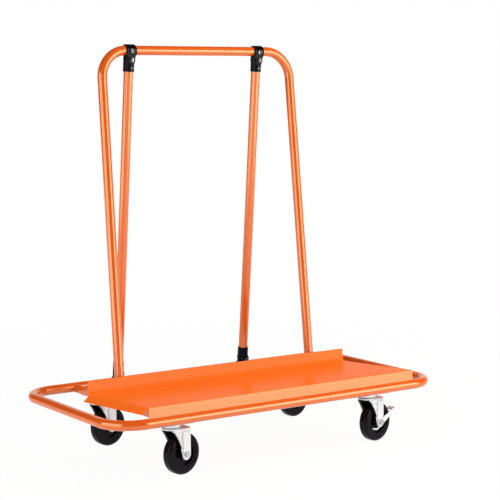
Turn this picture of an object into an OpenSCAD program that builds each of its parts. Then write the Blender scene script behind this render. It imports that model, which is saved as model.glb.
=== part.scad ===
// Drywall cart: a tube loop on four swivel casters with a folded deck,
// a leaning hoop behind it and two props from the hoop's bar to the rear tube.
// Origin on the floor under the middle of the loop. X runs along the cart,
// Y runs from the loading side to the rear and Z is up.

/* [Tube frame] */
// Outside diameter of every tube
tube_d = 30; // [25:0.5:34]
// Wall of every tube
tube_wall = 1.8; // [1.2:0.1:3]
// Overall length of the base loop
loop_len = 1200; // [1120:5:1400]
// Overall width of the base loop
loop_wid = 626; // [520:2:720]
// Height of the loop's tube axis above the floor
loop_z = 185; // [183:1:190]
// Bend radius of the loop's corners, on the tube axis
loop_bend = 96; // [70:1:120]
// Diameter of the drain holes under the loop
drain_d = 6; // [3:0.5:8]

/* [Cross members] */
// Half the distance between the two channels
channel_x = 363; // [340:1:380]
// Outside width of a channel
channel_w = 84; // [78:1:100]
// Wall of a channel
channel_wall = 3; // [2:0.5:4]
// Height of a channel's side above the loop's tube axis, behind the deck
channel_rise = 12; // [8:1:13]

/* [Deck] */
// Length of the deck between its end folds
deck_len = 966; // [860:2:1040]
// Thickness of the deck sheet
deck_t = 2; // [1.5:0.1:3]
// How far the front lip stands in front of the front tube's axis
lip_over = 5; // [3:0.5:8]
// Height of the front lip
lip_h = 32; // [26:0.5:40]
// Distance of the rear fold behind the loop's middle
fold_y = 54; // [45:1:58]
// Drop of the deck from its front edge to its rear fold
deck_drop = 22; // [10:1:26]
// Height of the rear flange along its slope
flange_h = 41; // [30:1:50]
// Lean of the rear flange from upright
flange_lean = 8; // [4:0.5:9]
// Inside radius of the folds
fold_r = 2; // [1:0.5:3]
// Reach of an end skirt beyond the end fold
skirt_out = 20; // [12:1:26]
// Drop of an end skirt below the deck
skirt_drop = 17; // [10:1:22]

/* [Hoop and props] */
// Height of the hoop's bar axis above the floor
bar_z = 1243; // [1000:1:1430]
// Distance of the bar axis behind the loop's middle
bar_y = 185; // [150:1:220]
// Distance of the hoop's legs behind the loop's middle, at the loop's height
hoop_foot_y = 78; // [77:1:84]
// Half the hoop's width at the bar, between leg axes
hoop_half_top = 351; // [290:1:380]
// Half the hoop's width at the loop's height
hoop_half_foot = 361; // [355:1:366]
// Bend radius of the hoop's corners, on the tube axis
hoop_bend = 88; // [50:1:100]
// Half the distance between the props at the rear tube
prop_half = 242; // [190:1:290]
// Distance of a prop from the end of the hoop's bend, along the bar
prop_from_bend = 24; // [22:1:90]
// Sideways shift of both props at the bar
prop_shift_top = -12; // [-20:1:20]
// Sideways shift of both props at the rear tube
prop_shift_foot = -5; // [-20:1:20]
// Length of a spigot inside a hoop leg
spigot_h = 70; // [60:1:90]

/* [Pipe tees] */
// Wall of a tee shell
tee_wall = 2.6; // [2:0.2:5]
// Width of a tee round the crossing tube
tee_w = 34; // [28:1:38]
// Length of a tee's stem from the crossing tube's axis
tee_stem = 65; // [60:1:80]
// Half width of the raised pad on a tee
pad_half = 12; // [10:0.5:14]
// Distance of the pad's rounded end from the crossing tube's axis
pad_reach = 42; // [38:1:44]
// Diameter of the two bolts on a tee's pad
tee_bolt_d = 8; // [5:0.5:9]
// Diameter of the bolt through a tee's stem
stem_bolt_d = 6; // [4:0.5:8]
// Distance of the second tee bolt from the crossing tube's axis
tee_bolt_2 = 27; // [25:0.5:30]
// Distance of the third tee bolt from the crossing tube's axis
tee_bolt_3 = 53; // [50:0.5:60]

/* [Casters] */
// Height from the floor to the top of a caster plate
caster_h = 170; // [167:0.5:171]
// Distance of the kingpins inside the axes of the long tubes
caster_y = 76; // [68:1:120]
// Horizontal distance from kingpin to axle
trail = 40; // [34:1:44]
// Turn of the casters in the pose shown
caster_turn = 12; // [0:1:40]
// Wheel diameter
wheel_d = 125; // [115:1:127]
// Tread width
tyre_w = 32; // [28:1:34]
// Diameter of the wheel core under the tyre
core_d = 88; // [80:1:94]
// Diameter of the axle bolts
axle_d = 10; // [8:0.5:12]
// Diameter of the kingpins
kingpin_d = 12; // [10:0.5:14]
// Length of a caster plate along the channel
plate_len = 100; // [96:1:112]
// Width of a caster plate across the channel
plate_wid = 80; // [76:1:84]
// Thickness of a caster plate
plate_t = 3.5; // [3:0.5:5]
// Hole spacing of a caster plate along the channel
plate_hole_len = 76; // [74:1:84]
// Hole spacing of a caster plate across the channel
plate_hole_wid = 52; // [48:1:54]
// Diameter of the caster plate bolts
plate_bolt_d = 8; // [6:0.5:8]
// Gap between the two fork legs
fork_gap = 40; // [39:0.5:44]
// Sheet thickness of a fork
fork_t = 3; // [2.5:0.5:4]
// Height of the fork crown's top above the floor
crown_z = 142.5; // [138:0.5:148]
// Half width of a fork leg at the axle
leg_half = 17; // [15:0.5:19]
// Reach of a fork's crown in front of its kingpin
crown_nose = 14; // [10:1:20]
// Inside radius of a fork's shoulders
shoulder_r = 5; // [3:0.5:8]
// Width of the turned-out rim on a fork's leading edge
fork_rim = 5; // [3:0.5:7]
// Radius of the sweep on a fork's leading edge
sweep_r = 173; // [150:1:260]
// Diameter of a race ball
ball_d = 6; // [5:0.5:6]
// Radius of the ball circle
ball_ring = 21; // [18:0.5:25]
// Number of balls in a race
ball_count = 14; // [8:1:16]

/* [Brake pedals] */
// Thickness of a pedal's sheet
pedal_t = 2.4; // [2:0.2:3]
// Rise of a released pedal above the level
pedal_rise = 22; // [15:1:30]
// Length of a pedal from the axle to its tip
pedal_len = 80; // [76:1:90]
// Width of the pedal pad across the wheel
pedal_pad = 26; // [20:1:30]
// Length of the release toe from the axle
toe_len = 42; // [34:1:46]

/* [Hidden] */
$fn = 48;

// Colours
orange = [0.96, 0.40, 0.10];
black = [0.10, 0.09, 0.10];
zinc = [0.84, 0.86, 0.88];
steel = [0.62, 0.63, 0.65];
rubber = [0.07, 0.07, 0.08];

// Clearances: seat between fixed pieces, a clamp round a tube, running fit and side play
seat = 0.1;
grip = 0.3;
run = 0.05;
play = 0.3;
cut = 1;

// Tube frame
tube_r = tube_d / 2;
bore_r = tube_r - tube_wall;
bend_swell = 0.05;
bend_lap = 1;
loop_x = loop_len / 2 - tube_r;
loop_y = loop_wid / 2 - tube_r;

// Deck: front edge, pitch and the heights of its top at the front and the rear fold
lip_y = -loop_y - lip_over;
lip_gap = lip_over - deck_t;
lip_foot_z = loop_z + sqrt(tube_r * tube_r - lip_gap * lip_gap) + seat;
deck_front_z = lip_foot_z + lip_h;
deck_run = fold_y - lip_y;
deck_pitch = atan2(deck_drop, deck_run);
deck_rear_z = deck_front_z - deck_drop;

// Channels
channel_top = loop_z + channel_rise;
web_top = caster_h + channel_wall;
channel_back = fold_y + fold_r + 2 * deck_t;

// Hoop
hoop_rise = bar_z - loop_z;
hoop_lean = atan2(bar_y - hoop_foot_y, hoop_rise);
hoop_slant = hoop_rise / cos(hoop_lean);
hoop_splay = atan2(hoop_half_foot - hoop_half_top, hoop_slant);
spigot_r = bore_r - seat;
hoop_bolt_d = 8;
hoop_bolt_up = 42;

// Props
prop_lean = atan2(loop_y - bar_y, hoop_rise);
prop_slant = hoop_rise / cos(prop_lean);
prop_inset = tube_r + 2;

// Tees
tee_ring_r = tube_r + tee_wall + 0.5;
tee_stem_r = tube_r + tee_wall;
tee_pad_y = tee_ring_r + 1.5;
tee_rim = 0.8;
tee_rim_t = 1.6;
tee_hole_r = tee_bolt_d / 2 + seat;
stem_hole_r = stem_bolt_d / 2 + seat;
tee_head_h = 4;
tee_nut_h = 5;

// Casters
kingpin_y = loop_y - caster_y;
axle_z = wheel_d / 2;
leg_inner = fork_gap / 2;
leg_outer = leg_inner + fork_t;
rib_t = 1.2;
leg_face = leg_outer + rib_t;
bush_r = axle_d / 2 + 4;
race_r = ball_ring + ball_d / 2 + 4;
ball_gap = 3.6;
lower_race_z = crown_z + 2.6;
ball_z = lower_race_z + ball_gap / 2;
upper_race_z = lower_race_z + ball_gap;
groove_r = ball_d / 2 + play;
kingpin_head_r = kingpin_d / 2 + 3;
kingpin_head_h = 3;
kingpin_foot_h = 3;
sweep_drop = 37.5;
plate_r = 8;
dish_out = 5;
dish_h = 6;
pedal_near = leg_face + 0.2;
pedal_far = pedal_near + pedal_t;
pedal_boss = axle_d / 2 + 8;
pedal_top = 9;
pedal_tip_w = 9;
toe_w = 4;
toe_bend = [-0.6 * toe_len, toe_w / 2 - pedal_boss];
hub_half = leg_inner - play;

function unit(v) = v / norm(v);
function left_of(v) = [-v[1], v[0]];
function turned(v, a) = [v[0] * cos(a) - v[1] * sin(a), v[0] * sin(a) + v[1] * cos(a)];
// Signed turn from direction u to direction w
function turn(u, w) = atan2(u[0] * w[1] - u[1] * w[0], u[0] * w[0] + u[1] * w[1]);
// Arc round corner b of a folded line a, b, c, shifted sideways by off
function fold_arc(a, b, c, r, off) =
    let (u = unit(b - a), w = unit(c - b), t = turn(u, w), s = sign(t))
    let (start = b - u * r * tan(abs(t) / 2), hub = start + left_of(u) * s * r)
    [for (i = [0:6]) hub - turned(left_of(u) * s, t * i / 6) * (r - s * off)];
// One side of a folded sheet whose middle line runs through pts
function fold_side(pts, r, off) =
    let (n = len(pts), u = unit(pts[1] - pts[0]), w = unit(pts[n - 1] - pts[n - 2]))
    concat(
        [pts[0] + left_of(u) * off],
        [for (i = [1:n - 2]) each fold_arc(pts[i - 1], pts[i], pts[i + 1], r, off)],
        [pts[n - 1] + left_of(w) * off]
    );
function backwards(list) = [for (i = [len(list) - 1:-1:0]) list[i]];
// Closed section of a folded sheet of thickness t
function folded_sheet(pts, r, t) = concat(fold_side(pts, r, t / 2), backwards(fold_side(pts, r, -t / 2)));
// Height of the deck's underside at depth y
function under_deck(y) = deck_rear_z + (fold_y - y) * tan(deck_pitch) - deck_t / cos(deck_pitch);

// A section in the Y Z plane drawn out along X, centred
module along_x(length) {
    rotate([90, 0, 90]) linear_extrude(height = length, center = true) children();
}

// A section in the X Z plane drawn out along Y from y0 to y1
module along_y(y0, y1) {
    translate([0, y1, 0]) rotate([90, 0, 0]) linear_extrude(height = y1 - y0) children();
}

module rod_x(r, length) {
    rotate([0, 90, 0]) cylinder(r = r, h = length, center = true);
}

module rod_y(r, y0, y1) {
    translate([0, y0, 0]) rotate([-90, 0, 0]) cylinder(r = r, h = y1 - y0);
}

module hex_y(flats, y0, y1) {
    translate([0, y0, 0]) rotate([-90, 0, 0]) cylinder(d = flats / cos(30), h = y1 - y0, $fn = 6);
}

// Base loop

module loop_tube(r) {
    for (s = [-1, 1]) {
        translate([s * loop_x, 0, 0]) rod_y(r, loop_bend - loop_y, loop_y - loop_bend);
        translate([0, s * loop_y, 0]) rod_x(r, 2 * (loop_x - loop_bend));
    }
    for (q = [0:3]) {
        corner_x = (q == 0 || q == 3 ? 1 : -1) * (loop_x - loop_bend);
        corner_y = (q < 2 ? 1 : -1) * (loop_y - loop_bend);
        translate([corner_x, corner_y, 0]) rotate([0, 0, 90 * q])
            rotate_extrude(angle = 90) translate([loop_bend, 0]) circle(r = r);
    }
}

module base_loop() {
    color(orange) difference() {
        translate([0, 0, loop_z]) loop_tube(tube_r);
        translate([0, 0, loop_z]) loop_tube(bore_r);
        for (s = [-1, 1]) {
            translate([s * (loop_x - loop_bend) / 2, -loop_y, loop_z - tube_r - cut])
                cylinder(d = drain_d, h = tube_r);
            foot_frame(s) rod_y(tee_hole_r, -tube_r - cut, tube_r + cut);
        }
    }
}

// Cross members

module channel_side() {
    polygon([
        [-loop_y, caster_h],
        [loop_y, caster_h],
        [loop_y, channel_top],
        [channel_back, channel_top],
        [fold_y - 2 * fold_r - deck_t, under_deck(fold_y - 2 * fold_r - deck_t)],
        [lip_y + 2 * deck_t + fold_r, under_deck(lip_y + 2 * deck_t + fold_r)],
        [lip_y + 2 * deck_t + fold_r, loop_z]
    ]);
}

module cross_member(side) {
    color(orange) translate([side * channel_x, 0, 0]) difference() {
        along_x(channel_w) channel_side();
        translate([channel_wall - channel_w / 2, -loop_y - tube_d, web_top])
            cube([channel_w - 2 * channel_wall, 2 * loop_y + 2 * tube_d, deck_front_z]);
        for (s = [-1, 1]) {
            translate([0, s * loop_y, loop_z]) rod_x(tube_r + seat, channel_w + 2 * cut);
            translate([0, s * kingpin_y, 0]) plate_holes() translate([0, 0, caster_h - cut])
                cylinder(d = plate_bolt_d + 2 * seat, h = channel_wall + 2 * cut);
        }
    }
}

// Deck

module deck_section() {
    half = deck_t / 2;
    below = half / cos(deck_pitch);
    foot = [lip_y + half, lip_foot_z];
    front = [lip_y + half, deck_front_z - below];
    rear = [fold_y + half, deck_rear_z - below];
    top = [fold_y + half + flange_h * sin(flange_lean), deck_rear_z + flange_h * cos(flange_lean)];
    polygon(folded_sheet([foot, front, rear, top], fold_r + half, deck_t));
}

// End skirt in the deck's own slope: a strip folded down and out along the end
module skirt_section() {
    half = deck_t / 2;
    root = [deck_len / 2 - 4 * deck_t, -half];
    bend = [deck_len / 2, -half];
    hem = [deck_len / 2 + skirt_out, -half - skirt_drop];
    polygon(folded_sheet([root, bend, hem], fold_r + half, deck_t));
}

module deck() {
    skirt_run = (deck_run - fold_r - deck_t) / cos(deck_pitch);
    color(orange) union() {
        along_x(deck_len) deck_section();
        for (s = [0, 1]) mirror([s, 0, 0])
            translate([0, lip_y, deck_front_z]) rotate([-deck_pitch, 0, 0])
                along_y(fold_r + deck_t, skirt_run) skirt_section();
    }
}

// Hoop

// Frame of the hoop's own leaning plane, at the loop's height
module hoop_frame() {
    translate([0, hoop_foot_y, loop_z]) rotate([-hoop_lean, 0, 0]) children();
}

// Frame along one hoop leg, at the loop's height
module leg_frame(side) {
    hoop_frame() translate([side * hoop_half_foot, 0, 0]) rotate([0, -side * hoop_splay, 0]) children();
}

// The hoop filled to radius r; its bends are a hair fatter than its straights, which run into them
module hoop_tube(r, below) {
    bend_in = hoop_bend * (1 - sin(hoop_splay)) / cos(hoop_splay);
    bend_x = hoop_half_top - bend_in;
    leg_len = (hoop_slant - hoop_bend * (1 - sin(hoop_splay))) / cos(hoop_splay);
    hoop_frame() union() {
        translate([0, 0, hoop_slant]) rod_x(r, 2 * bend_x + 2 * bend_lap);
        for (s = [-1, 1]) {
            translate([s * bend_x, 0, hoop_slant - hoop_bend]) rotate([90, 0, 0])
                rotate([0, 0, s > 0 ? hoop_splay : 90]) rotate_extrude(angle = 90 - hoop_splay)
                    translate([hoop_bend, 0]) circle(r = r + bend_swell);
            translate([s * hoop_half_foot, 0, 0]) rotate([0, -s * hoop_splay, 0])
                translate([0, 0, -below]) cylinder(r = r, h = leg_len + below + bend_lap);
        }
    }
}

module hoop() {
    color(orange) difference() {
        hoop_tube(tube_r, tube_d);
        hoop_tube(bore_r, 2 * tube_d);
        translate([-loop_x, hoop_foot_y - loop_y, web_top - 3 * tube_d])
            cube([2 * loop_x, 2 * loop_y, 3 * tube_d]);
        for (s = [-1, 1]) {
            leg_frame(s) translate([0, 0, hoop_bolt_up])
                rod_x(hoop_bolt_d / 2 + seat, 2 * tube_d);
            top_frame(s) rod_y(tee_hole_r, -tube_r - cut, tube_r + cut);
        }
    }
}

module hoop_spigot(side) {
    color(orange) difference() {
        leg_frame(side) translate([0, 0, -tube_d]) cylinder(r = spigot_r, h = tube_d + spigot_h);
        translate([-loop_x, hoop_foot_y - loop_y, web_top - 3 * tube_d])
            cube([2 * loop_x, 2 * loop_y, 3 * tube_d]);
        leg_frame(side) translate([0, 0, hoop_bolt_up]) rod_x(hoop_bolt_d / 2 + seat, 2 * tube_d);
    }
}

module hoop_bolts() {
    head_h = 5;
    nut_h = 6.5;
    color(steel) for (s = [-1, 1])
        leg_frame(s) translate([0, 0, hoop_bolt_up]) rotate([0, 0, s * 90]) {
            hex_y(1.6 * hoop_bolt_d, -tube_r - head_h, -tube_r);
            rod_y(hoop_bolt_d / 2, -tube_r - head_h / 2, tube_r + nut_h + 2);
            difference() {
                hex_y(1.6 * hoop_bolt_d, tube_r, tube_r + nut_h);
                rod_y(hoop_bolt_d / 2 + run, tube_r - cut, tube_r + nut_h + cut);
            }
        }
}

// Props

function prop_foot_x(side) = side * prop_half + prop_shift_foot;
function prop_top_x(side) = side * (hoop_half_top - hoop_bend - prop_from_bend) + prop_shift_top;
// Sideways tilt of a prop in the plane of its lean
function prop_tilt(side) = atan2(prop_top_x(side) - prop_foot_x(side), prop_slant);

// Frame on the rear tube with Z along the prop's lean
module foot_frame(side) {
    translate([prop_foot_x(side), loop_y, loop_z]) rotate([prop_lean, 0, 0]) children();
}

// Frame on the hoop's bar with Z along the prop's lean
module top_frame(side) {
    translate([prop_top_x(side), bar_y, bar_z]) rotate([prop_lean, 0, 0]) children();
}

// Holes of a tee's two bolts through the tube in its stem, which runs along up times Z
module stem_holes(up, half) {
    translate([0, 0, up * tee_bolt_2]) rod_y(tee_hole_r, -half, half);
    translate([0, 0, up * tee_bolt_3]) rod_y(stem_hole_r, -half, half);
}

module prop(side) {
    tilt = prop_tilt(side);
    prop_len = prop_slant / cos(tilt);
    color(orange) difference() {
        foot_frame(side) rotate([0, tilt, 0]) translate([0, 0, prop_inset]) difference() {
            cylinder(r = tube_r, h = prop_len - 2 * prop_inset);
            translate([0, 0, -cut]) cylinder(r = bore_r, h = prop_len + 2 * cut);
        }
        foot_frame(side) rotate([0, tilt, 0]) stem_holes(1, tube_d);
        top_frame(side) rotate([0, tilt, 0]) stem_holes(-1, tube_d);
    }
}

// Pipe tees

// Raised pad on a tee's front half: as wide as the ring at its root, then narrow with a round end
module tee_pad() {
    shoulder = 2 * tube_r / 3;
    polygon([
        [-tee_w / 2, tube_r / 2],
        [tee_w / 2, tube_r / 2],
        [tee_w / 2, -shoulder],
        [pad_half, -2 * shoulder],
        [pad_half, pad_half - pad_reach],
        [-pad_half, pad_half - pad_reach],
        [-pad_half, -2 * shoulder],
        [-tee_w / 2, -shoulder]
    ]);
    translate([0, pad_half - pad_reach]) circle(r = pad_half);
}

// Narrow strip under the nuts of a tee's back half, round at its end
module tee_strip() {
    strip = 3 * pad_half / 4;
    translate([-strip, strip - pad_reach]) square([2 * strip, pad_reach - strip + tube_r / 2]);
    translate([0, strip - pad_reach]) circle(r = strip);
}

// Half of a tee round a crossing tube, its stem tilted and along up times Z;
// face is -1 for front or 1 for back, and a rim runs along the joint of the two halves
module tee_half(tilt, up, face) {
    y0 = face < 0 ? -tee_pad_y : 0;
    stem_rim = tee_stem_r + tee_rim;
    ring_rim = tee_ring_r + tee_rim;
    difference() {
        union() {
            rod_x(tee_ring_r, tee_w);
            translate([-tee_w / 2, -tee_rim_t, -ring_rim]) cube([tee_w, 2 * tee_rim_t, 2 * ring_rim]);
            rotate([0, tilt, 0]) translate([0, 0, up < 0 ? -tee_stem : 0]) {
                cylinder(r = tee_stem_r, h = tee_stem);
                translate([-stem_rim, -tee_rim_t, 0]) cube([2 * stem_rim, 2 * tee_rim_t, tee_stem]);
            }
            along_y(y0, y0 + tee_pad_y) mirror([0, up < 0 ? 0 : 1]) {
                if (face < 0) tee_pad();
                else tee_strip();
            }
        }
        rod_x(tube_r + grip, 2 * tee_w);
        rotate([0, tilt, 0]) translate([0, 0, up < 0 ? -tee_stem - cut : 0])
            cylinder(r = tube_r + seat, h = tee_stem + cut);
        translate([-tee_w, face < 0 ? -seat : -2 * tee_w + seat, -2 * tee_stem])
            cube([2 * tee_w, 2 * tee_w, 4 * tee_stem]);
        rod_y(tee_hole_r, -2 * tee_w, 2 * tee_w);
        rotate([0, tilt, 0]) stem_holes(up, 2 * tee_w);
    }
}

module top_tee(side, face) {
    color(black) top_frame(side) tee_half(prop_tilt(side), -1, face);
}

module foot_tee(side, face) {
    color(black) foot_frame(side) tee_half(prop_tilt(side), 1, face);
}

// Places of a tee's three bolts: on the pad, on the pad and on the stem
module tee_bolt_places(tilt, up) {
    tee_seat(tee_pad_y, tee_bolt_d) children();
    rotate([0, tilt, 0]) {
        translate([0, 0, up * tee_bolt_2]) tee_seat(tee_pad_y, tee_bolt_d) children();
        translate([0, 0, up * tee_bolt_3]) tee_seat(tee_stem_r, stem_bolt_d) children();
    }
}

module tee_seat(reach, bolt) {
    $reach = reach;
    $bolt = bolt;
    children();
}

module all_tee_bolt_places() {
    for (s = [-1, 1]) {
        top_frame(s) tee_bolt_places(prop_tilt(s), -1) children();
        foot_frame(s) tee_bolt_places(prop_tilt(s), 1) children();
    }
}

module tee_bolts() {
    color(black) all_tee_bolt_places() {
        rod_y($bolt / 2, -$reach - tee_head_h / 2, $reach + tee_nut_h + 1.5);
        hex_y(1.65 * $bolt, -$reach - tee_head_h, -$reach);
    }
}

module tee_nuts() {
    color(black) all_tee_bolt_places() difference() {
        hex_y(1.65 * $bolt, $reach, $reach + tee_nut_h);
        rod_y($bolt / 2 + run, $reach - cut, $reach + tee_nut_h + cut);
    }
}

// Casters

module caster_place(side_x, side_y) {
    translate([side_x * channel_x, side_y * kingpin_y, 0]) children();
}

module turned_caster(side_x, side_y) {
    caster_place(side_x, side_y) rotate([0, 0, caster_turn]) children();
}

module all_casters() {
    for (sx = [-1, 1], sy = [-1, 1]) caster_place(sx, sy) children();
}

module plate_holes() {
    for (x = [-1, 1], y = [-1, 1])
        translate([x * plate_hole_wid / 2, y * plate_hole_len / 2, 0]) children();
}

module caster_bolts() {
    head_h = 5;
    color(zinc) all_casters() plate_holes() {
        translate([0, 0, caster_h - plate_t - head_h])
            cylinder(d = 1.6 * plate_bolt_d / cos(30), h = head_h, $fn = 6);
        translate([0, 0, caster_h - plate_t - head_h / 2])
            cylinder(d = plate_bolt_d, h = head_h / 2 + plate_t + channel_wall + 9);
    }
}

module caster_nuts() {
    nut_h = 6.5;
    color(zinc) all_casters() plate_holes() translate([0, 0, web_top]) difference() {
        cylinder(d = 1.6 * plate_bolt_d / cos(30), h = nut_h, $fn = 6);
        translate([0, 0, -cut]) cylinder(d = plate_bolt_d + 2 * run, h = nut_h + 2 * cut);
    }
}

module plate_outline() {
    for (s = [-1, 1]) {
        square([plate_wid, plate_len - 2 * plate_r], center = true);
        square([plate_wid - 2 * plate_r, plate_len], center = true);
        for (t = [-1, 1])
            translate([s * (plate_wid / 2 - plate_r), t * (plate_len / 2 - plate_r)]) circle(r = plate_r);
    }
}

// Ring of round section that the balls run in
module ball_groove() {
    translate([0, 0, ball_z]) rotate_extrude() translate([ball_ring, 0]) circle(r = groove_r);
}

module caster_plate(side_x, side_y) {
    under = caster_h - plate_t;
    color(zinc) caster_place(side_x, side_y) difference() {
        union() {
            translate([0, 0, under]) linear_extrude(height = plate_t) plate_outline();
            translate([0, 0, upper_race_z]) cylinder(r = race_r, h = under + plate_t / 2 - upper_race_z);
            translate([0, 0, under - dish_h]) cylinder(r = race_r + dish_out, h = dish_h + plate_t / 2);
        }
        ball_groove();
        translate([0, 0, upper_race_z - cut]) cylinder(r = kingpin_d / 2 + run, h = caster_h);
        translate([0, 0, caster_h - kingpin_head_h]) cylinder(r = kingpin_head_r + run, h = caster_h);
        plate_holes() translate([0, 0, under - cut])
            cylinder(d = plate_bolt_d + 2 * seat, h = plate_t + 2 * cut);
    }
}

// Pin with a flat head in the plate and a riveted foot under the fork's crown
module kingpins() {
    foot_top = crown_z - fork_t - play;
    foot = foot_top - kingpin_foot_h;
    color(steel) all_casters() {
        translate([0, 0, caster_h - kingpin_head_h + run])
            cylinder(r = kingpin_head_r, h = kingpin_head_h - 2 * run);
        translate([0, 0, foot + kingpin_foot_h / 2])
            cylinder(d = kingpin_d, h = caster_h - kingpin_head_h / 2 - foot - kingpin_foot_h / 2);
        translate([0, 0, foot]) cylinder(r = kingpin_head_r, h = kingpin_foot_h);
    }
}

module race_balls() {
    color(steel) all_casters() for (i = [0:ball_count - 1])
        rotate([0, 0, 360 * i / ball_count]) translate([ball_ring, 0, ball_z]) sphere(d = ball_d);
}

// Section across the fork: an arch with straight sides and round shoulders
module fork_arch(half, top, r) {
    translate([-half, -cut]) square([2 * half, top - r + cut]);
    translate([r - half, -cut]) square([2 * half - 2 * r, top + cut]);
    for (s = [-1, 1]) translate([s * (half - r), top - r]) circle(r = r);
}

// Leg and crown seen from the side: everything inside this outline is kept
module fork_side() {
    difference() {
        union() {
            translate([trail, axle_z]) circle(r = leg_half);
            translate([-3 * leg_half, axle_z]) square([trail + 4 * leg_half, crown_z - axle_z]);
        }
        sweep_place() circle(r = sweep_r);
    }
}

// Middle of the sweep on the fork's leading edge, which meets the leg's round end at the axle
module sweep_place() {
    back = sqrt(sweep_r * sweep_r - sweep_drop * sweep_drop);
    translate([trail - leg_half - back, axle_z - sweep_drop]) children();
}

// Rim along the leading edge of a leg, seen from the side
module fork_rim_side() {
    low = axle_z + leg_half + fork_t;
    intersection() {
        sweep_place() difference() {
            circle(r = sweep_r + fork_t);
            circle(r = sweep_r);
        }
        translate([-crown_nose, low])
            square([trail + crown_nose, crown_z - fork_t - shoulder_r - low]);
    }
}

module caster_fork(side_x, side_y) {
    tail = trail + leg_half;
    color(zinc) turned_caster(side_x, side_y) difference() {
        union() {
            intersection() {
                translate([(tail - crown_nose) / 2, 0, 0]) difference() {
                    along_x(tail + crown_nose) fork_arch(leg_outer, crown_z, shoulder_r + fork_t);
                    along_x(tail + crown_nose + 2 * cut) fork_arch(leg_inner, crown_z - fork_t, shoulder_r);
                }
                along_y(-leg_outer - cut, leg_outer + cut) fork_side();
            }
            along_y(-leg_outer - fork_rim, -leg_inner) fork_rim_side();
            along_y(leg_inner, leg_outer + fork_rim) fork_rim_side();
            for (s = [-1, 1]) leg_rib(s);
            translate([0, 0, crown_z - fork_t / 2])
                cylinder(r = race_r, h = lower_race_z - crown_z + fork_t / 2);
        }
        ball_groove();
        cylinder(r = kingpin_d / 2 + run, h = lower_race_z + cut);
        translate([trail, 0, axle_z]) rod_y(axle_d / 2 + run, -2 * leg_face, 2 * leg_face);
    }
}

// Raised strip pressed into the outside of a leg, round at the axle
module leg_rib(s) {
    y0 = s < 0 ? -leg_face : leg_outer - rib_t;
    strip = leg_half - 2;
    translate([trail, 0, axle_z]) rod_y(strip, y0, y0 + 2 * rib_t);
    translate([trail - strip, y0, axle_z])
        cube([2 * strip, 2 * rib_t, crown_z - axle_z - shoulder_r - 2 * fork_t]);
}

// Axle bolt with its head on the near side, and its nut
module axle(side_x, side_y, near) {
    head_h = 5;
    nut_h = 7;
    flats = 1.6 * axle_d;
    color(steel) turned_caster(side_x, side_y) translate([trail, 0, axle_z]) {
        hex_y(flats, -near - head_h, -near);
        rod_y(axle_d / 2, -near - head_h / 2, leg_face + nut_h + 2);
        difference() {
            hex_y(flats, leg_face, leg_face + nut_h);
            rod_y(axle_d / 2 + run, leg_face - cut, leg_face + nut_h + cut);
        }
    }
}

module on_axle(side_x, side_y) {
    turned_caster(side_x, side_y) translate([trail, 0, axle_z]) rotate([90, 0, 0]) children();
}

module bush(side_x, side_y) {
    color(steel) on_axle(side_x, side_y) difference() {
        cylinder(r = bush_r, h = 2 * hub_half, center = true);
        cylinder(r = axle_d / 2 + run, h = 2 * hub_half + 2 * cut, center = true);
    }
}

// Half section of the wheel: hub, dished web and rim, radius against half width
module wheel_section() {
    rim_w = tyre_w - 4;
    hub_r = bush_r + 8;
    web_w = 12;
    rim_t = 7;
    translate([bush_r, 1 - hub_half]) square([hub_r - bush_r, 2 * hub_half - 2]);
    translate([hub_r - cut, -web_w / 2]) square([core_d / 2 - hub_r, web_w]);
    translate([core_d / 2 - rim_t, -rim_w / 2]) square([rim_t, rim_w]);
}

module wheel(side_x, side_y) {
    color(rubber) on_axle(side_x, side_y) rotate_extrude() wheel_section();
}

// Half section of the tyre: a rounded tread and a groove round each side
module tyre_section() {
    shoulder = 9;
    groove = 1.2;
    difference() {
        union() {
            translate([core_d / 2, -tyre_w / 2]) square([wheel_d / 2 - shoulder - core_d / 2, tyre_w]);
            translate([core_d / 2, shoulder - tyre_w / 2])
                square([wheel_d / 2 - core_d / 2, tyre_w - 2 * shoulder]);
            for (s = [-1, 1])
                translate([wheel_d / 2 - shoulder, s * (tyre_w / 2 - shoulder)]) circle(r = shoulder);
        }
        for (s = [-1, 1]) translate([core_d / 2 + 3 * groove, s * tyre_w / 2]) circle(r = groove);
    }
}

module tyre(side_x, side_y) {
    color(rubber) on_axle(side_x, side_y) rotate_extrude() tyre_section();
}

// Brake pedals

// Flat bar with round ends from p to q
module flat_bar(p, q, w) {
    d = q - p;
    translate(p) circle(d = w);
    translate(q) circle(d = w);
    translate(p) rotate(atan2(d[1], d[0])) translate([0, -w / 2]) square([norm(d), w]);
}

// Side plate of a pedal in the axle's X Z plane: boss, tapered arm to the pad and bent toe
module pedal_plate() {
    circle(r = pedal_boss);
    polygon([
        [0, pedal_top],
        [pedal_len, pedal_top],
        [pedal_len, pedal_top - pedal_tip_w],
        [0, pedal_t - pedal_boss]
    ]);
    flat_bar([0, toe_w - pedal_boss], toe_bend, toe_w);
    flat_bar(toe_bend, [-toe_len, 0], toe_w);
}

module brake_pedal(side_x, side_y) {
    pad_from = axle_z + 3;
    color(zinc) turned_caster(side_x, side_y) translate([trail, 0, axle_z]) rotate([0, -pedal_rise, 0])
        difference() {
            union() {
                along_y(-pedal_far, -pedal_near) pedal_plate();
                translate([pad_from, -pedal_far, pedal_top - pedal_t])
                    cube([pedal_len - pad_from, pedal_pad, pedal_t]);
            }
            rod_y(axle_d / 2 + run, -2 * pedal_far, 0);
        }
}

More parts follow.
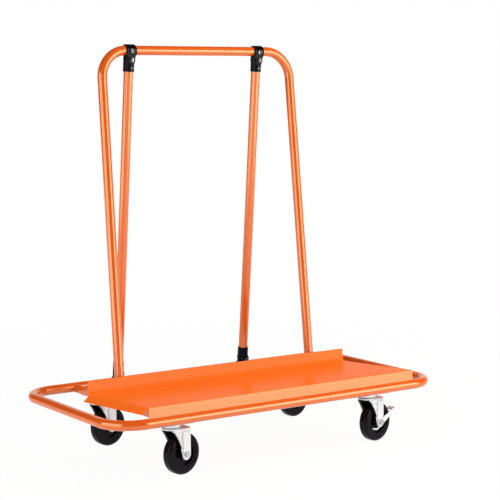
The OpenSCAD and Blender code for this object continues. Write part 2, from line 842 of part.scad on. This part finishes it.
base_loop();
cross_member(-1);  // cross_member_left
cross_member(1);  // cross_member_right
deck();
hoop();
hoop_spigot(-1);  // hoop_spigot_left
hoop_spigot(1);  // hoop_spigot_right
hoop_bolts();
prop(-1);  // prop_left
prop(1);  // prop_right
top_tee(-1, -1);  // top_tee_front_left
top_tee(-1, 1);  // top_tee_back_left
top_tee(1, -1);  // top_tee_front_right
top_tee(1, 1);  // top_tee_back_right
foot_tee(-1, -1);  // foot_tee_front_left
foot_tee(-1, 1);  // foot_tee_back_left
foot_tee(1, -1);  // foot_tee_front_right
foot_tee(1, 1);  // foot_tee_back_right
tee_bolts();
tee_nuts();
caster_bolts();
caster_nuts();
kingpins();
race_balls();
caster_plate(-1, -1);  // caster_plate_fl
caster_plate(1, -1);  // caster_plate_fr
caster_plate(-1, 1);  // caster_plate_rl
caster_plate(1, 1);  // caster_plate_rr
caster_fork(-1, -1);  // caster_fork_fl
caster_fork(1, -1);  // caster_fork_fr
caster_fork(-1, 1);  // caster_fork_rl
caster_fork(1, 1);  // caster_fork_rr
axle(-1, -1, leg_face);  // axle_fl
axle(1, -1, pedal_far + play);  // axle_fr
axle(-1, 1, leg_face);  // axle_rl
axle(1, 1, pedal_far + play);  // axle_rr
bush(-1, -1);  // bush_fl
bush(1, -1);  // bush_fr
bush(-1, 1);  // bush_rl
bush(1, 1);  // bush_rr
wheel(-1, -1);  // wheel_fl
wheel(1, -1);  // wheel_fr
wheel(-1, 1);  // wheel_rl
wheel(1, 1);  // wheel_rr
tyre(-1, -1);  // tyre_fl
tyre(1, -1);  // tyre_fr
tyre(-1, 1);  // tyre_rl
tyre(1, 1);  // tyre_rr
brake_pedal(1, -1);  // brake_pedal_fr
brake_pedal(1, 1);  // brake_pedal_rr
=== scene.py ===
import math

import bmesh
import bpy
import numpy as np
from mathutils import Matrix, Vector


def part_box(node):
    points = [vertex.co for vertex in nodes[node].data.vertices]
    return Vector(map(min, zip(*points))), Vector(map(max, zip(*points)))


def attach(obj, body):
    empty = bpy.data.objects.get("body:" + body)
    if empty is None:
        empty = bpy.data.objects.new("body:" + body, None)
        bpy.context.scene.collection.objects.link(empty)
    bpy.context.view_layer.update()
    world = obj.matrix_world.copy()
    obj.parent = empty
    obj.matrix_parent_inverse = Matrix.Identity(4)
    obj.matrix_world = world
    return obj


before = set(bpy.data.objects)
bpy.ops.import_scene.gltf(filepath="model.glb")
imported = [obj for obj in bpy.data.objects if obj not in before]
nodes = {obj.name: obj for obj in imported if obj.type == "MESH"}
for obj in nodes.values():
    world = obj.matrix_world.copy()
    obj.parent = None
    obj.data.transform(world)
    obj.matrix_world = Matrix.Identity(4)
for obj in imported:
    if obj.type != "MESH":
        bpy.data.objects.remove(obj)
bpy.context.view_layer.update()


# Base loop: one ring of bent steel tube that runs right round the cart.
# It is powder coated in glossy orange, which sets with a faint orange-peel skin.

PAINT_ORANGE = (0.65, 0.092, 0.004, 1)
PAINT_DEEP = (0.62, 0.084, 0.003, 1)
PAINT_GLOSS = (0.14, 0.19)
PAINT_MIRROR = 1.0
PAINT_SHEEN = (1, 0.74, 0.45, 1)
PAINT_IOR = 1.8
PAINT_PEEL = 0.000004
PLAIN_SHEEN = (1, 1, 1, 1)
CLOUDS_PER_M, CLOUD_DETAIL = 9, 3
GLOSS_PER_M, GLOSS_DETAIL = 60, 4
PEEL_PER_M, PEEL_DETAIL = 420, 2
RELIEF_STRENGTH = 0.5
EDGE_SAMPLES = 4


def shader_tree(name):
    """A new material with its node tree, its main shader and its Object coordinates."""
    material = bpy.data.materials.new(name)
    material.use_nodes = True
    tree = material.node_tree
    shader = tree.nodes["Principled BSDF"]
    place = tree.nodes.new("ShaderNodeTexCoord").outputs["Object"]
    return material, tree, shader, place


def noise(tree, place, scale, detail, rough=0.5):
    """Cloudy pattern, scale counts its spots in a metre."""
    node = tree.nodes.new("ShaderNodeTexNoise")
    node.inputs["Scale"].default_value = scale
    node.inputs["Detail"].default_value = detail
    node.inputs["Roughness"].default_value = rough
    tree.links.new(place, node.inputs["Vector"])
    return node.outputs["Fac"]


def spread(tree, value, low, high, start=0.3, stop=0.7):
    """Stretches a pattern from start..stop onto low..high."""
    node = tree.nodes.new("ShaderNodeMapRange")
    node.inputs["From Min"].default_value = start
    node.inputs["From Max"].default_value = stop
    node.inputs["To Min"].default_value = low
    node.inputs["To Max"].default_value = high
    tree.links.new(value, node.inputs["Value"])
    return node.outputs["Result"]


def two_tone(tree, value, first, second):
    """Colour that moves from first to second as a pattern rises."""
    node = tree.nodes.new("ShaderNodeMix")
    node.data_type = "RGBA"
    node.inputs["A"].default_value = first
    node.inputs["B"].default_value = second
    tree.links.new(value, node.inputs["Factor"])
    return node.outputs["Result"]


def relief(tree, shader, height, distance, edge):
    """Bump of the given depth over corners that are softened by the edge radius, if any."""
    bump = tree.nodes.new("ShaderNodeBump")
    bump.inputs["Strength"].default_value = RELIEF_STRENGTH
    bump.inputs["Distance"].default_value = distance
    tree.links.new(height, bump.inputs["Height"])
    if edge:
        corner = tree.nodes.new("ShaderNodeBevel")
        corner.samples = EDGE_SAMPLES
        corner.inputs["Radius"].default_value = edge
        tree.links.new(corner.outputs["Normal"], bump.inputs["Normal"])
    tree.links.new(bump.outputs["Normal"], shader.inputs["Normal"])


def powder_coat(name, colour, deep, gloss, mirror, peel, edge=0, sheen=PLAIN_SHEEN):
    """Baked powder coat: two close shades in broad clouds, gloss that wanders between
    two values, a mirror level with the colour of its sheen and a fine orange-peel relief."""
    material, tree, shader, place = shader_tree(name)
    clouds = spread(tree, noise(tree, place, CLOUDS_PER_M, CLOUD_DETAIL), 0, 1)
    polish = spread(tree, noise(tree, place, GLOSS_PER_M, GLOSS_DETAIL), *gloss)
    tree.links.new(two_tone(tree, clouds, colour, deep), shader.inputs["Base Color"])
    tree.links.new(polish, shader.inputs["Roughness"])
    shader.inputs["Specular IOR Level"].default_value = mirror
    shader.inputs["Specular Tint"].default_value = sheen
    relief(tree, shader, noise(tree, place, PEEL_PER_M, PEEL_DETAIL), peel, edge)
    return material


def dress(material, *names):
    """Gives CAD nodes a material in place of the one they came with."""
    for name in names:
        mesh = nodes[name].data
        mesh.materials.clear()
        mesh.materials.append(material)


orange_paint = powder_coat("orange_paint", PAINT_ORANGE, PAINT_DEEP, PAINT_GLOSS, PAINT_MIRROR,
                           PAINT_PEEL, sheen=PAINT_SHEEN)
orange_paint.node_tree.nodes["Principled BSDF"].inputs["IOR"].default_value = PAINT_IOR
dress(orange_paint, "base_loop")


# Cross members: two pressed channels across the loop, open at the top and welded
# to the front and rear tubes. The weld runs are painted over with the frame.

loop_low, loop_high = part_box("base_loop")
channel_low, channel_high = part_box("cross_member_right")
TUBE_R = (loop_high[2] - loop_low[2]) / 2
LOOP_Y = loop_high[1] - TUBE_R
LOOP_Z = loop_high[2] - TUBE_R
CHANNEL_X = (channel_low[0] + channel_high[0]) / 2
CHANNEL_HALF = (channel_high[0] - channel_low[0]) / 2
WEB_UNDER = channel_low[2]
BEAD_R = 0.0021
BEAD_POOL = 0.0034
BEAD_LEAST, BEAD_SWELL = 0.9, 0.16
BEAD_SIDES = 10
BEAD_OUT = 0.0004
MERGE = 1e-6
SADDLE_FROM, SADDLE_TO, SADDLE_STEPS = -78, 55, 150
WEB_SHARE, WEB_STEPS = 0.9, 160
WEB_BACK = 0.0020
BOTH = (-1, 1)


def weld_run(path, side):
    """Skin of one weld run: a round section carried along the path. Its radius rises
    at each end as a quarter circle does and swells once for every pool of the weld."""
    tangent = np.gradient(path, axis=0)
    tangent /= np.linalg.norm(tangent, axis=1, keepdims=True)
    across = np.cross(tangent, side)
    across /= np.linalg.norm(across, axis=1, keepdims=True)
    upward = np.cross(tangent, across)
    along = np.concatenate(([0], np.cumsum(np.linalg.norm(np.diff(path, axis=0), axis=1))))
    end = np.clip(np.minimum(along, along[-1] - along) / (2 * BEAD_R), 0, 1)
    pools = BEAD_LEAST + BEAD_SWELL * np.abs(np.sin(math.pi * along / BEAD_POOL))
    size = BEAD_R * np.sqrt(1 - (1 - end) ** 2) * pools
    turn = np.linspace(0, 2 * math.pi, BEAD_SIDES, endpoint=False)
    ring = np.cos(turn)[:, None] * across[:, None] + np.sin(turn)[:, None] * upward[:, None]
    return path[:, None] + size[:, None, None] * ring


def skins(name, grids, material, body):
    """One piece from several tubes: each grid's rows are rings, joined row to row,
    and the rows that shrink to a point are closed by merging."""
    points, faces, first = [], [], 0
    for grid in grids:
        rows, count = grid.shape[:2]
        start = np.arange(rows - 1)[:, None] * count
        corner = start + np.arange(count)[None, :]
        beside = start + np.roll(np.arange(count), -1)[None, :]
        quads = np.stack((corner, beside, beside + count, corner + count), axis=-1)
        points.append(grid.reshape(-1, 3))
        faces.append(quads.reshape(-1, 4) + first)
        first += rows * count
    mesh = bpy.data.meshes.new(name)
    mesh.from_pydata(np.concatenate(points).tolist(), [], np.concatenate(faces).tolist())
    shell = bmesh.new()
    shell.from_mesh(mesh)
    bmesh.ops.remove_doubles(shell, verts=shell.verts, dist=MERGE)
    bmesh.ops.recalc_face_normals(shell, faces=shell.faces)
    shell.to_mesh(mesh)
    shell.free()
    mesh.polygons.foreach_set("use_smooth", np.ones(len(mesh.polygons), bool))
    mesh.materials.append(material)
    piece = bpy.data.objects.new(name, mesh)
    bpy.context.scene.collection.objects.link(piece)
    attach(piece, body)


def saddle_weld(face_x, end):
    """Run up the joint of a channel's side and a tube: an arc on the tube's skin
    from under its middle to the side's top edge, in the side's own plane."""
    angle = np.radians(np.linspace(SADDLE_FROM, SADDLE_TO, SADDLE_STEPS))
    reach = TUBE_R + BEAD_OUT
    path = np.stack((np.full_like(angle, face_x), end * (LOOP_Y - reach * np.cos(angle)),
                     LOOP_Z + reach * np.sin(angle)), axis=1)
    return weld_run(path, (1, 0, 0))


def web_weld(middle_x, end):
    """Run along the lower edge of the web, straight across under a tube."""
    x = middle_x + np.linspace(-WEB_SHARE, WEB_SHARE, WEB_STEPS) * CHANNEL_HALF
    path = np.stack((x, np.full_like(x, end * (LOOP_Y - WEB_BACK)),
                     np.full_like(x, WEB_UNDER + BEAD_OUT)), axis=1)
    return weld_run(path, (0, 0, 1))


channel_faces = [side * CHANNEL_X + face * CHANNEL_HALF for side in BOTH for face in BOTH]
channel_welds = [saddle_weld(face_x, end) for face_x in channel_faces for end in BOTH]
channel_welds += [web_weld(side * CHANNEL_X, end) for side in BOTH for end in BOTH]
skins("channel_welds", channel_welds, orange_paint, "cart")
dress(orange_paint, "cross_member_left", "cross_member_right")


# Deck: one sheet folded into a front lip, a sloping top, a raised rear flange and
# end skirts. It is stitch welded to the channels from below. Its coat is duller than the
# tubes'.
# Its orange is a lighter copy of the frame's paint, painted light on the top, and painted
# light makes the lip and, a little, the flange paler still.

DECK_FRONT = (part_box("deck")[0][1], 0.2318)
DECK_REAR = (0.054, 0.2098)
DECK_T = 0.002
# Lighter copy of the frame's orange: painted light for the deck's top.
DECK_LIT_ORANGE = (0.88, 0.156, 0.018, 1)
DECK_LIT_DEEP = (0.86, 0.144, 0.014, 1)
DECK_GLOSS = (0.16, 0.22)
DECK_MIRROR = 0.002
DECK_PEEL = 0.000008
DECK_EDGE = 0.0008
# Paler tone for the lip's face and, at a share, the flange's face: painted light.
LIP_LIT_TONE = (0.76, 0.285, 0.128, 1)
FLANGE_LIT_SHARE = 0.26
LIT_FROM = 0.001
STITCH, STITCH_STEPS = 0.028, 60
STITCH_STARTS = (-0.262, -0.176, -0.090, -0.004)


def stitch_weld(face_x, start):
    """Short run under the deck, along the top edge of a channel's side."""
    y = np.linspace(start, start + STITCH, STITCH_STEPS)
    fall = (DECK_REAR[1] - DECK_FRONT[1]) / (DECK_REAR[0] - DECK_FRONT[0])
    z = DECK_FRONT[1] - DECK_T + fall * (y - DECK_FRONT[0]) - BEAD_OUT
    path = np.stack((np.full_like(y, face_x), y, z), axis=1)
    return weld_run(path, (1, 0, 0))


def reckon(tree, operation, first, second=0.0):
    """One step of arithmetic on a value, with a number or another value."""
    node = tree.nodes.new("ShaderNodeMath")
    node.operation = operation
    tree.links.new(first, node.inputs[0])
    if isinstance(second, float):
        node.inputs[1].default_value = second
    else:
        tree.links.new(second, node.inputs[1])
    return node.outputs["Value"]


def overlay(tree, shader, share, colour):
    """Lays a second colour over the base colour, by a share of 0 to 1."""
    under = shader.inputs["Base Color"].links[0].from_socket
    mixed = two_tone(tree, share, colour, colour)
    tree.links.new(under, mixed.node.inputs["A"])
    tree.links.new(mixed, shader.inputs["Base Color"])


stitches = [stitch_weld(face_x, start) for face_x in channel_faces for start in STITCH_STARTS]
skins("deck_stitch_welds", stitches, orange_paint, "cart")
lit_deck_paint = powder_coat("lit_deck_paint", DECK_LIT_ORANGE, DECK_LIT_DEEP, DECK_GLOSS, DECK_MIRROR,
                         DECK_PEEL, DECK_EDGE)
tree = lit_deck_paint.node_tree
axes = tree.nodes.new("ShaderNodeSeparateXYZ")
tree.links.new(tree.nodes["Texture Coordinate"].outputs["Object"], axes.inputs["Vector"])
# Masks of the lip's front face and the flange's face, where the painted light is laid over the
# deck's orange.
lip = spread(tree, axes.outputs["Y"], 1, 0, DECK_FRONT[0] + LIT_FROM, DECK_FRONT[0] + DECK_T)
flange = spread(tree, axes.outputs["Y"], 0, FLANGE_LIT_SHARE,
                DECK_REAR[0] + LIT_FROM, DECK_REAR[0] + DECK_T)
overlay(tree, tree.nodes["Principled BSDF"], reckon(tree, "MAXIMUM", lip, flange), LIP_LIT_TONE)
dress(lit_deck_paint, "deck")


# Hoop and props: the leaning tube frame that the boards rest against. The hoop's legs
# slip over stubs on the channels and are bolted through. It has the loop's paint.

dress(orange_paint, "hoop", "hoop_spigot_left", "hoop_spigot_right", "prop_left", "prop_right")


# Pipe tees: black coated steel shells in two halves, bolted together, that grip the
# props to the bar above and to the rear tube below.

TEE_BLACK = (0.002, 0.002, 0.003, 1)
TEE_GREY = (0.004, 0.003, 0.005, 1)
TEE_GLOSS = (0.09, 0.15)
TEE_MIRROR = 0.08
TEE_PEEL = 0.00002
TEE_EDGE = 0.0009
black_coat = powder_coat("black_coat", TEE_BLACK, TEE_GREY, TEE_GLOSS, TEE_MIRROR,
                         TEE_PEEL, TEE_EDGE)
for end in ("top", "foot"):
    for half in ("front", "back"):
        dress(black_coat, f"{end}_tee_{half}_left", f"{end}_tee_{half}_right")


# Caster plates, forks and brake pedals: pressed steel with a bright zinc plate and
# faint flow marks from the sheet below. The forks carry painted shade between their legs.

CORNERS = ("fl", "fr", "rl", "rr")
ZINC_LIGHT = (0.80, 0.83, 0.86, 1)
ZINC_DULL = (0.68, 0.71, 0.75, 1)
ZINC_GLOSS = (0.34, 0.46)
ZINC_EDGE = 0.0006
ZINC_METAL = 0.35
DRAWN_OUT = (1, 1, 0.12)
STREAKS_PER_M, STREAK_DETAIL, STREAK_ROUGH = 160, 5, 0.6
GRAIN_PER_M, GRAIN_DETAIL, GRAIN_DEPTH = 1500, 2, 0.00002
FORK_TURN = math.radians(12)
FORK_INNER = 0.0203
FORK_UNDER = 0.1398
FORK_OUTWARD = 0.010
# Near-black colour of the painted shade inside the forks.
FORK_PAINTED_SHADE = (0.012, 0.011, 0.013, 1)


def plated(name, light, dull, gloss, edge, metal=1, wear=(0.3, 0.7)):
    """Plated metal: a light and a duller tone in streaks drawn out along Z,
    gloss that follows the same streaks, and a very fine grain in relief."""
    material, tree, shader, place = shader_tree(name)
    drawn = tree.nodes.new("ShaderNodeMapping")
    drawn.inputs["Scale"].default_value = DRAWN_OUT
    tree.links.new(place, drawn.inputs["Vector"])
    streaks = noise(tree, drawn.outputs["Vector"], STREAKS_PER_M, STREAK_DETAIL, STREAK_ROUGH)
    tone = two_tone(tree, spread(tree, streaks, 0, 1, *wear), light, dull)
    tree.links.new(tone, shader.inputs["Base Color"])
    tree.links.new(spread(tree, streaks, *gloss), shader.inputs["Roughness"])
    shader.inputs["Metallic"].default_value = metal
    relief(tree, shader, noise(tree, place, GRAIN_PER_M, GRAIN_DETAIL), GRAIN_DEPTH, edge)
    return material


def measure(tree, source, way):
    """How far a coordinate or a normal reaches along one direction."""
    node = tree.nodes.new("ShaderNodeVectorMath")
    node.operation = "DOT_PRODUCT"
    node.inputs[1].default_value = way
    tree.links.new(tree.nodes["Texture Coordinate"].outputs[source], node.inputs[0])
    return node.outputs["Value"]


def paint_fork_shade(material, pin):
    """Paints shade on a fork below its crown, where the distance from its middle plane is less
    than that of the legs' inner faces, or where the skin does not face outward: where that
    distance, times the share of the normal that points away from the plane, is small."""
    tree = material.node_tree
    across = (-math.sin(FORK_TURN), math.cos(FORK_TURN), 0)
    middle = float(np.dot(across, pin))
    offset = reckon(tree, "SUBTRACT", measure(tree, "Object", across), middle)
    between = reckon(tree, "LESS_THAN", reckon(tree, "ABSOLUTE", offset), FORK_INNER)
    facing = reckon(tree, "MULTIPLY", offset, measure(tree, "Normal", across))
    inward = reckon(tree, "LESS_THAN", facing, FORK_OUTWARD)
    below = reckon(tree, "LESS_THAN", measure(tree, "Object", (0, 0, 1)), FORK_UNDER)
    shade_mask = reckon(tree, "MULTIPLY", reckon(tree, "MAXIMUM", between, inward), below)
    # Lays the near-black painted shade over the zinc where the mask is set.
    overlay(tree, tree.nodes["Principled BSDF"], shade_mask, FORK_PAINTED_SHADE)


zinc_plate = plated("zinc_plate", ZINC_LIGHT, ZINC_DULL, ZINC_GLOSS, ZINC_EDGE, ZINC_METAL)
for corner in CORNERS:
    dress(zinc_plate, "caster_plate_" + corner)
    plate_low, plate_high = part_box("caster_plate_" + corner)
    fork_zinc_shaded = plated("fork_zinc_shaded_" + corner, ZINC_LIGHT, ZINC_DULL, ZINC_GLOSS, ZINC_EDGE,
                       ZINC_METAL)
    paint_fork_shade(fork_zinc_shaded, (np.array(plate_low) + np.array(plate_high)) / 2)
    dress(fork_zinc_shaded, "caster_fork_" + corner)
dress(zinc_plate, "brake_pedal_fr", "brake_pedal_rr", "caster_bolts", "caster_nuts")


# Axles, kingpins, balls, bushes and hoop bolts: turned steel with a thin plate,
# a little darker than the pressed parts.

STEEL_LIGHT = (0.60, 0.61, 0.63, 1)
STEEL_DULL = (0.45, 0.46, 0.48, 1)
STEEL_GLOSS = (0.26, 0.42)
STEEL_EDGE = 0.0005
turned_steel = plated("turned_steel", STEEL_LIGHT, STEEL_DULL, STEEL_GLOSS, STEEL_EDGE)
for corner in CORNERS:
    dress(turned_steel, "axle_" + corner, "bush_" + corner)
dress(turned_steel, "kingpins", "race_balls", "hoop_bolts")


# Tee bolts and nuts: hex heads in blackened steel, with bare metal where the
# spanner has rubbed the black off.

OXIDE_BLACK = (0.03, 0.03, 0.035, 1)
BARE_STEEL = (0.34, 0.335, 0.34, 1)
BARE_FROM = (0.57, 0.64)
BOLT_GLOSS = (0.16, 0.26)
black_steel = plated("black_steel", OXIDE_BLACK, BARE_STEEL, BOLT_GLOSS, STEEL_EDGE,
                     wear=BARE_FROM)
dress(black_steel, "tee_bolts", "tee_nuts")


# Wheels: a moulded black core with a solid black rubber tyre bonded round it.
# Both are smooth, with a little bloom that dulls them in small clouds.

RUBBER_BLACK = (0.003, 0.002, 0.004, 1)
RUBBER_BLOOM = (0.007, 0.006, 0.009, 1)
RUBBER_GRAIN, RUBBER_DEPTH, RUBBER_EDGE = 700, 0.00004, 0.0010
CORE_BLACK = (0.003, 0.002, 0.004, 1)
CORE_WORN = (0.006, 0.005, 0.007, 1)
CORE_GRAIN, CORE_DEPTH, CORE_EDGE = 1100, 0.00003, 0.0008
BLACK_GLOSS = (0.09, 0.20)
BLACK_MIRROR = 0.11
BLOOM_PER_M, BLOOM_DETAIL, BLOOM_ROUGH = 45, 5, 0.6
SKIN_DETAIL = 3


def moulded(name, colour, bloom, grain, depth, edge):
    """Moulded black: bloom in small clouds over the base colour, dull where the bloom
    is thick, and a grain of the given spots in a metre pressed into the skin."""
    material, tree, shader, place = shader_tree(name)
    bloomed = noise(tree, place, BLOOM_PER_M, BLOOM_DETAIL, BLOOM_ROUGH)
    tone = two_tone(tree, spread(tree, bloomed, 0, 1), colour, bloom)
    tree.links.new(tone, shader.inputs["Base Color"])
    tree.links.new(spread(tree, bloomed, *BLACK_GLOSS), shader.inputs["Roughness"])
    shader.inputs["Specular IOR Level"].default_value = BLACK_MIRROR
    relief(tree, shader, noise(tree, place, grain, SKIN_DETAIL), depth, edge)
    return material


tyre_rubber = moulded("tyre_rubber", RUBBER_BLACK, RUBBER_BLOOM,
                      RUBBER_GRAIN, RUBBER_DEPTH, RUBBER_EDGE)
wheel_core = moulded("wheel_core", CORE_BLACK, CORE_WORN, CORE_GRAIN, CORE_DEPTH, CORE_EDGE)
for corner in CORNERS:
    dress(tyre_rubber, "tyre_" + corner)
    dress(wheel_core, "wheel_" + corner)


# Floor: a plain white studio floor. Near the cart it is matt and takes the shadow,
# and further out it runs into the white of the background.

FLOOR_HALF = 30
FLOOR_NEAR = 1.0
FLOOR_FAR = 3.2
FLOOR_MATT = (0.90, 0.90, 0.90, 1)
FLOOR_ROUGH = 0.9
FLOOR_MIRROR = 0.1
FLOOR_GLOW = 0.96

floor_mesh = bpy.data.meshes.new("floor")
floor_corners = [(x * FLOOR_HALF, y * FLOOR_HALF, 0)
                 for x, y in ((-1, -1), (1, -1), (1, 1), (-1, 1))]
floor_mesh.from_pydata(floor_corners, [], [(0, 1, 2, 3)])
floor = bpy.data.objects.new("floor", floor_mesh)
bpy.context.scene.collection.objects.link(floor)


def seen_directly(tree):
    """1 for camera, mirror and glass rays and 0 for the rays that light the object."""
    path = tree.nodes.new("ShaderNodeLightPath")
    total = path.outputs["Is Camera Ray"]
    for ray in ("Is Glossy Ray", "Is Transmission Ray"):
        total = reckon(tree, "MAXIMUM", total, path.outputs[ray])
    return total


floor_white, tree, matt, place = shader_tree("floor_white")
matt.inputs["Base Color"].default_value = FLOOR_MATT
matt.inputs["Roughness"].default_value = FLOOR_ROUGH
matt.inputs["Specular IOR Level"].default_value = FLOOR_MIRROR
glow = tree.nodes.new("ShaderNodeEmission")
distance = tree.nodes.new("ShaderNodeVectorMath")
distance.operation = "LENGTH"
tree.links.new(place, distance.inputs[0])
whiteness = spread(tree, distance.outputs["Value"], FLOOR_GLOW, 1, FLOOR_NEAR, FLOOR_FAR)
share = reckon(tree, "MULTIPLY", whiteness, seen_directly(tree))
blend = tree.nodes.new("ShaderNodeMixShader")
tree.links.new(share, blend.inputs["Fac"])
tree.links.new(matt.outputs["BSDF"], blend.inputs[1])
tree.links.new(glow.outputs["Emission"], blend.inputs[2])
tree.links.new(blend.outputs["Shader"], tree.nodes["Material Output"].inputs["Surface"])
floor_mesh.materials.append(floor_white)


# Light: a plain room that is white behind the cart, with a wide soft wall on the left and
# a tall softbox at the front right that draw streaks down the tubes. A panel above the
# softbox lights the deck and does not show in the tubes.

ROOM_LEVEL = 0.40
ROOM_DARK = 0.05
BACKDROP_WAY = (0.56, 0.83, 0)
BACKDROP_EDGE = (0.70, 0.90)
SOFT_PANELS = (
    # name, spot, aim, size, power, tint, shows in mirrors
    ("left_wall", (-3.2, -0.3, 1.2), (0, 0, 0.6), (3.6, 2.2), 66, (1, 0.97, 0.92), True),
    ("right_softbox", (2.1, -3.0, 1.2), (0, 0, 1.2), (2.6, 2.3), 78, (1, 0.97, 0.90), True),
    ("front_strip", (2.2, -2.2, 3.6), (0, 0, 0.3), (2.6, 1.4), 150, (1, 0.96, 0.88), False),
)


def room_mix(tree, ray, others, seen):
    """Strength that is seen for one kind of ray and others for the rest."""
    node = tree.nodes.new("ShaderNodeMix")
    tree.links.new(ray, node.inputs["Factor"])
    for socket, value in (("A", others), ("B", seen)):
        if isinstance(value, (int, float)):
            node.inputs[socket].default_value = value
        else:
            tree.links.new(value, node.inputs[socket])
    return node.outputs["Result"]


room = bpy.data.worlds.new("white_room")
bpy.context.scene.world = room
room.use_nodes = True
tree = room.node_tree
light = tree.nodes["Background"]
light.inputs["Color"].default_value = (1, 1, 1, 1)
facing = tree.nodes.new("ShaderNodeVectorMath")
facing.operation = "DOT_PRODUCT"
facing.inputs[1].default_value = BACKDROP_WAY
tree.links.new(tree.nodes.new("ShaderNodeTexCoord").outputs["Generated"], facing.inputs[0])
path = tree.nodes.new("ShaderNodeLightPath")
strength = room_mix(tree, path.outputs["Is Glossy Ray"], ROOM_LEVEL,
                    spread(tree, facing.outputs["Value"], ROOM_DARK, 1, *BACKDROP_EDGE))
strength = room_mix(tree, path.outputs["Is Transmission Ray"], strength, 1)
strength = room_mix(tree, path.outputs["Is Camera Ray"], strength, 1)
tree.links.new(strength, light.inputs["Strength"])


def stand_at(x_axis, y_axis, z_axis, spot):
    """Matrix that puts an object at a spot with the given axes."""
    columns = np.eye(4)
    columns[:3] = np.stack((x_axis, y_axis, z_axis, spot), axis=1)
    return Matrix(columns.tolist())


for name, spot, aim, (width, height), power, tint, mirrored in SOFT_PANELS:
    lamp = bpy.data.lights.new(name, "AREA")
    lamp.shape = "RECTANGLE"
    lamp.size, lamp.size_y = width, height
    lamp.energy = power
    lamp.color = tint
    panel = bpy.data.objects.new(name, lamp)
    panel.visible_camera = False
    panel.visible_glossy = mirrored
    back = np.array(spot) - np.array(aim)
    back /= np.linalg.norm(back)
    side = np.cross((0, 0, 1), back)
    side /= np.linalg.norm(side)
    panel.matrix_world = stand_at(side, np.cross(back, side), back, spot)
    bpy.context.scene.collection.objects.link(panel)


# Camera: off to the front left, a little below the height of the hoop's bar. Its pitch,
# heading, roll and focal length put the cart in the frame as in the photo.

EYE = (-2.574445, -3.887876, 1.121388)
HEADING = math.radians(-34.1016)
PITCH = math.radians(5.8983)
ROLL = math.radians(-0.4195)
FOCAL_PX = 1498.963
CENTRE_PX = (246.803, 243.851)
FRAME_PX = 500
SENSOR_MM = 36
FAR_CLIP = 200

ahead = np.array((-math.sin(HEADING) * math.cos(PITCH),
                  math.cos(HEADING) * math.cos(PITCH), -math.sin(PITCH)))
level = np.array((math.cos(HEADING), math.sin(HEADING), 0))
upright = np.cross(level, ahead)
view_x = level * math.cos(ROLL) + upright * math.sin(ROLL)
view_y = upright * math.cos(ROLL) - level * math.sin(ROLL)

lens = bpy.data.cameras.new("photo_view")
lens.sensor_width = SENSOR_MM
lens.lens = FOCAL_PX * SENSOR_MM / FRAME_PX
lens.shift_x = (FRAME_PX / 2 - CENTRE_PX[0]) / FRAME_PX
lens.shift_y = (CENTRE_PX[1] - FRAME_PX / 2) / FRAME_PX
lens.clip_end = FAR_CLIP
photo_view = bpy.data.objects.new("photo_view", lens)
photo_view.matrix_world = stand_at(view_x, view_y, -ahead, EYE)
bpy.context.scene.collection.objects.link(photo_view)
bpy.context.scene.camera = photo_view
bpy.context.scene.view_settings.view_transform = "Standard"
